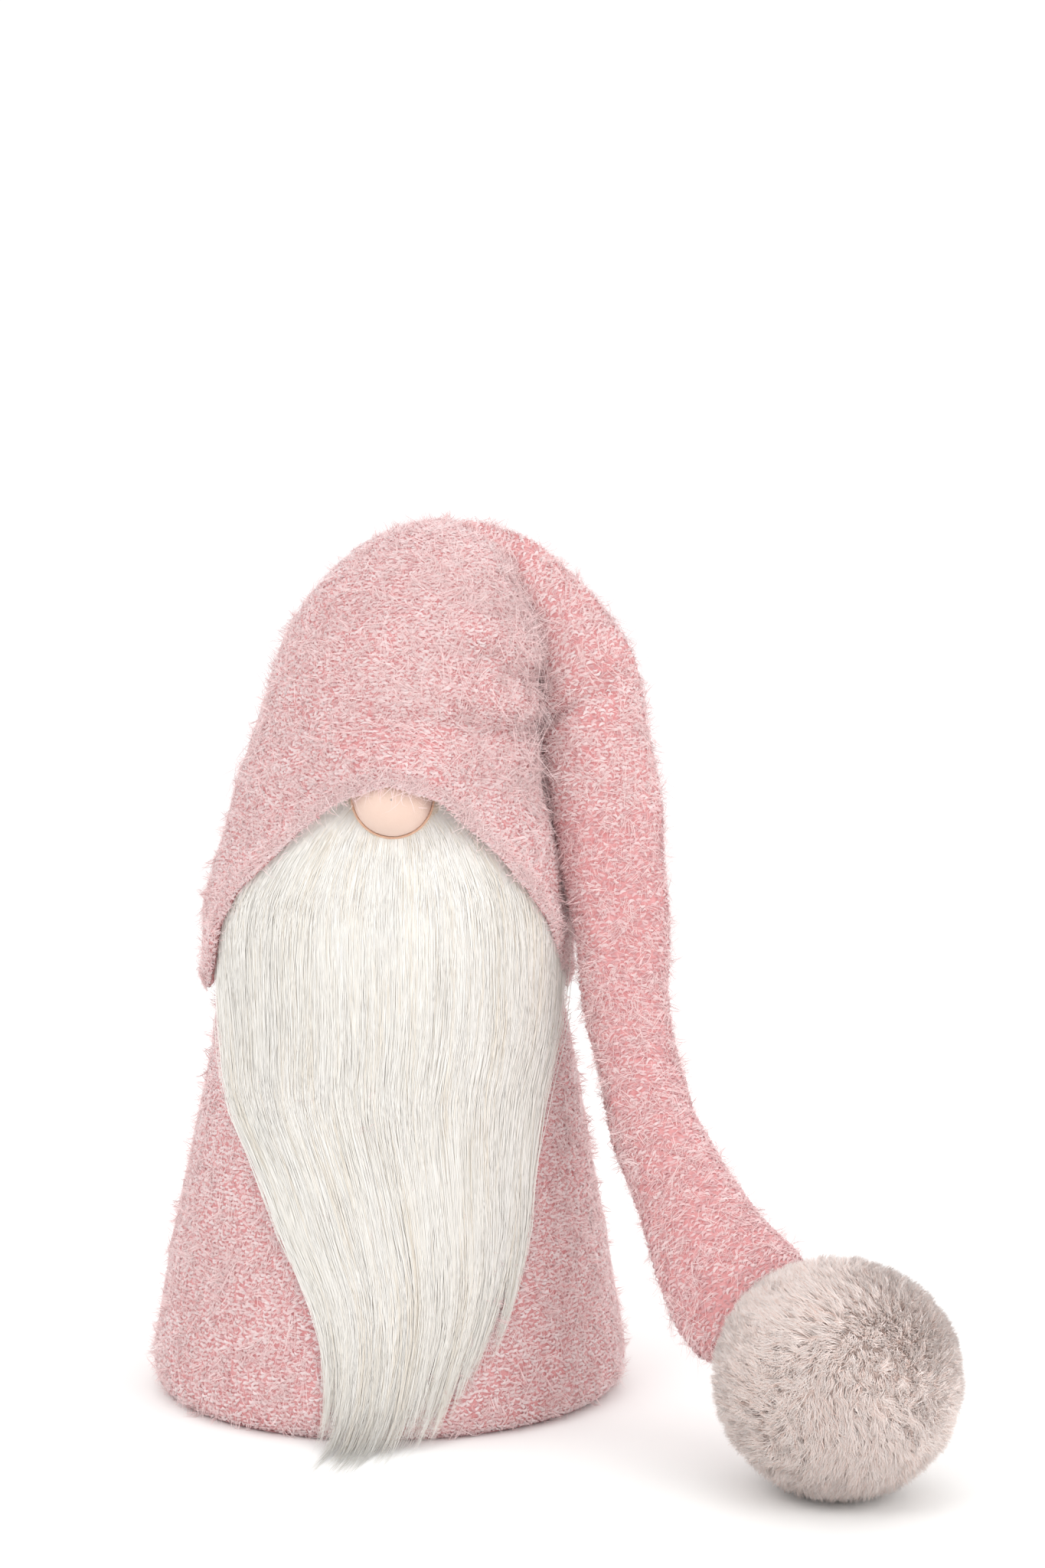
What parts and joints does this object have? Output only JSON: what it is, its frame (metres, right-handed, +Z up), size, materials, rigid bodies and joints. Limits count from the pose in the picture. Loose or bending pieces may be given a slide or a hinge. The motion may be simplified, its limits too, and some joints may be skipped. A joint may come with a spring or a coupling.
{
  "type": "tomte gnome figurine",
  "caption": "Tall soft gnome with a weighted knit body, long faux-fur beard, round nose and a pull-over knit cap whose long tail ends in a pompom.",
  "frame": {"origin": "centre of the flat base's underside", "axes": "+Z up along the body, -Y out of the nose, +X the side that the cap's tail hangs on"},
  "size_m": [0.5195, 0.4973, 0.5909],
  "materials": {
    "knit": "matte",
    "head_cloth": "matte",
    "stuffing": "matte",
    "base_cloth": "matte",
    "board": "matte",
    "weight_cloth": "matte",
    "granules": "matte",
    "thread": "matte",
    "nose_cloth": "matte",
    "nose_thread": "matte",
    "fur_backing": "matte",
    "beard_fur": "satin",
    "pompom_fur": "matte",
    "pompom_cloth": "matte"
  },
  "bodies": {
    "root": {"body_cover": "knit", "head_cover": "head_cloth", "body_filling": "stuffing", "base_panel": "base_cloth", "base_board": "board", "weight_bag": "weight_cloth", "weight_granules": "granules", "body_back_seam": "thread", "base_seam": "thread", "nose_cover": "nose_cloth", "nose_filling": "stuffing", "nose_thread": "nose_thread", "beard_top_backing": "fur_backing", "beard_top_fur": "beard_fur"},
    "beard": {"beard_fall_backing": "fur_backing", "beard_fall_fur": "beard_fur"},
    "hat": {"hat_shell": "knit", "hat_back_seam": "thread"},
    "tail_upper": {"tail_upper": "knit"},
    "tail_lower": {"tail_lower": "knit"},
    "pompom": {"pompom_fur": "pompom_fur", "pompom_backing": "pompom_cloth", "pompom_filling": "stuffing", "pompom_tie": "thread"}
  },
  "joints": [
    {"name": "hat_lift", "type": "slide", "parent": "root", "child": "hat", "axis": [0, 0, 1], "range_m": [0, 0.3]},
    {"name": "tail_swing", "type": "hinge", "parent": "hat", "child": "tail_upper", "pos_m": [0.062, 0, 0.588], "axis": [0, -1, 0], "range_deg": [0, 100]},
    {"name": "tail_bend", "type": "hinge", "parent": "tail_upper", "child": "tail_lower", "pos_m": [0.1695, -0.0805, 0.281], "axis": [-0.8713, -0.4907, 0], "range_deg": [0, 70]},
    {"name": "pompom_swing", "type": "hinge", "parent": "tail_lower", "child": "pompom", "pos_m": [0.249, -0.236, 0.14], "axis": [-0.8713, -0.4907, 0], "range_deg": [0, 50]},
    {"name": "beard_lift", "type": "hinge", "parent": "root", "child": "beard", "pos_m": [0, -0.06, 0.33], "axis": [-1, 0, 0], "range_deg": [0, 70]}
  ]
}
